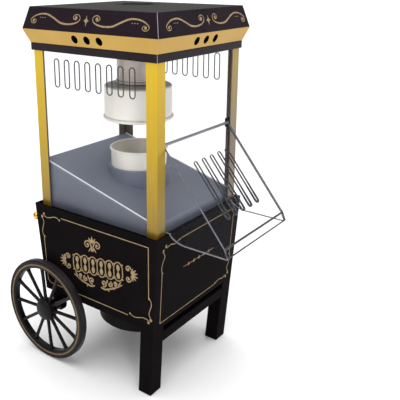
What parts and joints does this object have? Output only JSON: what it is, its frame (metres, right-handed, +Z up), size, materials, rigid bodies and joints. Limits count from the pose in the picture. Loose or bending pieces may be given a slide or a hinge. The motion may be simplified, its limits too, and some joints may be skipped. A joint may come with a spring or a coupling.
{
  "type": "hot-air popcorn maker",
  "caption": "Tabletop hot-air popcorn maker shaped like an old popcorn cart: clear cabinet with gold posts, flared canopy, kettle-like hood, swing-up chute door, black base, spoked wheels.",
  "frame": {"origin": "on the worktop, under the middle of the cabinet", "axes": "+Z up, -Y towards the front where the door is, -X towards the left side as seen from the front"},
  "size_m": [0.2332, 0.349, 0.4953],
  "materials": {
    "body_black": "satin black",
    "hidden_black": "matt black",
    "canopy_black": "semi-gloss black with a faint violet tint",
    "roof_grey": "dark grey",
    "band_gold": "gold paint",
    "post_gold": "gold anodised",
    "clear_panel": "clear",
    "aluminium": "spun, polished",
    "steel": "plain",
    "brass": "polished",
    "wheel_black": "black with a gold line on the rim",
    "ramp_grey": "blue-grey",
    "duct_plastic": "ivory",
    "insulator": "plain",
    "rocker_red": "red"
  },
  "bodies": {
    "cabinet": {"base_shell": "body_black", "base_floor_pan": "hidden_black", "base_deck": "hidden_black", "front_leg_left": "body_black", "front_leg_right": "body_black", "front_rail": "body_black", "drum_housing": "hidden_black", "intake_grille": "hidden_black", "motor_bracket": "steel", "fan_motor": "steel", "air_duct": "duct_plastic", "heater_former": "insulator", "heater_coil": "steel", "chamber_tube": "aluminium", "chamber_floor": "aluminium", "chamber_collar": "ramp_grey", "thermostat": "insulator", "terminal_block": "duct_plastic", "switch_housing": "hidden_black", "cord_inlet_bush": "hidden_black", "rear_knobs": "brass", "axle_brackets": "body_black", "axle": "steel", "axle_clips": "steel", "pan_screws": "steel", "ramp_floor": "ramp_grey", "ramp_cheeks": "ramp_grey", "post_front_left": "post_gold", "post_front_right": "post_gold", "post_rear_left": "post_gold", "post_rear_right": "post_gold", "window_left": "clear_panel", "window_right": "clear_panel", "window_rear": "clear_panel", "window_front": "clear_panel", "hinge_brackets": "hidden_black", "hinge_rod": "steel"},
    "door": {"door_flap": "clear_panel", "door_wing_left": "clear_panel", "door_wing_right": "clear_panel"},
    "canopy": {"canopy_lower_band": "canopy_black", "canopy_gold_band": "band_gold", "canopy_upper_band": "canopy_black", "canopy_roof": "roof_grey", "canopy_ceiling": "hidden_black", "filler_well": "roof_grey", "kettle_neck": "aluminium", "kettle_band": "steel", "kettle_bell": "aluminium", "kettle_rim": "aluminium"},
    "cup": {"measuring_cup": "roof_grey"},
    "left_wheel": {"wheel_left": "wheel_black", "wheel_left_cap": "wheel_black"},
    "right_wheel": {"wheel_right": "wheel_black", "wheel_right_cap": "wheel_black"},
    "fan_rotor": {"fan_impeller": "hidden_black", "fan_shaft": "steel"},
    "rocker": {"switch_rocker": "rocker_red"}
  },
  "joints": [
    {"name": "door_hinge", "type": "hinge", "parent": "cabinet", "child": "door", "pos_m": [0, -0.0965, 0.339], "axis": [-1, 0, 0], "range_deg": [0, 60]},
    {"name": "canopy_lift", "type": "slide", "parent": "cabinet", "child": "canopy", "axis": [0, 0, 1], "range_m": [0, 0.14]},
    {"name": "cup_lift", "type": "slide", "parent": "canopy", "child": "cup", "axis": [0, 0, 1], "range_m": [0, 0.04]},
    {"name": "left_wheel_spin", "type": "hinge", "parent": "cabinet", "child": "left_wheel", "pos_m": [0, 0.085, 0.074], "axis": [1, 0, 0], "continuous": true},
    {"name": "right_wheel_spin", "type": "hinge", "parent": "cabinet", "child": "right_wheel", "pos_m": [0, 0.085, 0.074], "axis": [1, 0, 0], "continuous": true},
    {"name": "fan_spin", "type": "hinge", "parent": "cabinet", "child": "fan_rotor", "pos_m": [0, 0, 0.1], "axis": [0, 0, 1], "continuous": true},
    {"name": "rocker_tilt", "type": "hinge", "parent": "cabinet", "child": "rocker", "pos_m": [0.045, 0.0981, 0.15521], "axis": [-1, 0, 0], "range_deg": [0, 14]}
  ]
}
